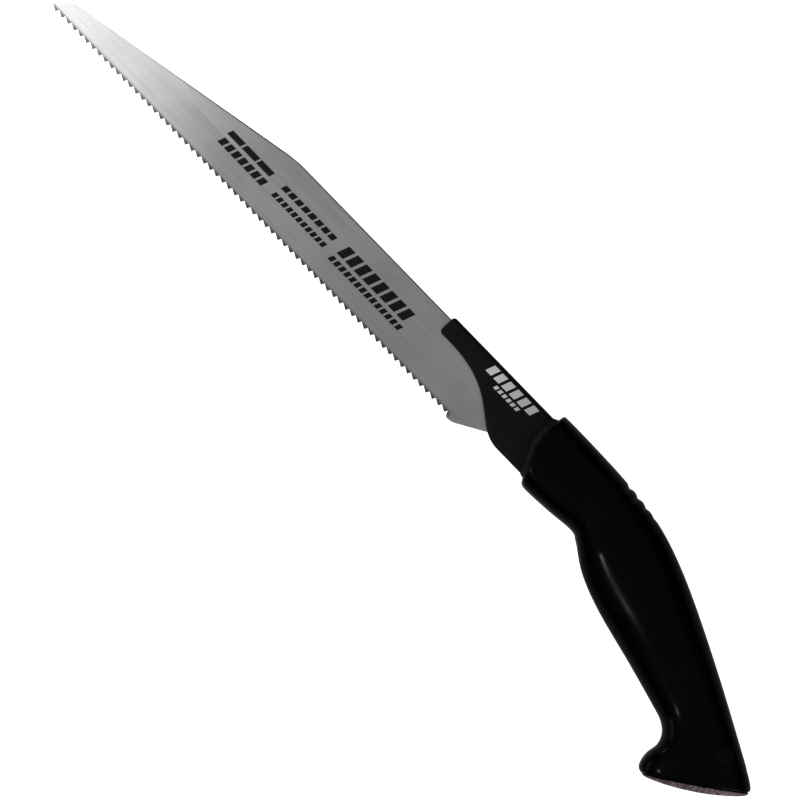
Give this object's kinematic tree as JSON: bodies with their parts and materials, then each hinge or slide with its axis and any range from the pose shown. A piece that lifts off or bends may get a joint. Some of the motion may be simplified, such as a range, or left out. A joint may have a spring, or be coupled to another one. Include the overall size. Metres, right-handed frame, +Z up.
{
  "type": "drywall saw",
  "caption": "Pull-cut drywall saw with a tapered replaceable blade hooked into a folded steel back and a pistol-grip handle with a rubber cover over a hard core.",
  "frame": {"origin": "centre of the saw's bounding box, on the plane it lies on", "axes": "+X from the blade's tip to the handle's butt, along the line of the tooth tips; +Y from the teeth towards the spine; +Z up, across the blade, as the saw lies on its side"},
  "size_m": [0.4448, 0.082, 0.028],
  "materials": {
    "blade_steel": "ground carbon steel with a fine lengthwise grain",
    "holder_paint": "satin dark grey powder paint",
    "fastener_steel": "zinc plated",
    "core_plastic": "moulded hard plastic with a fine speckle",
    "grip_rubber": "smooth semi-gloss elastomer"
  },
  "bodies": {
    "handle": {"grip_cover": "grip_rubber", "core_left": "core_plastic", "core_right": "core_plastic", "blade_holder": "holder_paint", "hook_pin": "fastener_steel", "tang_packing": "fastener_steel", "tang_pin_front": "fastener_steel", "tang_pin_rear": "fastener_steel", "butt_cap": "core_plastic", "butt_screw": "fastener_steel"},
    "blade": {"blade": "blade_steel"}
  },
  "joints": [
    {"name": "blade_swing", "type": "hinge", "parent": "handle", "child": "blade", "pos_m": [0.04559, 0.02219, 0.014], "axis": [0, 0, 1], "range_deg": [0, 35]}
  ]
}
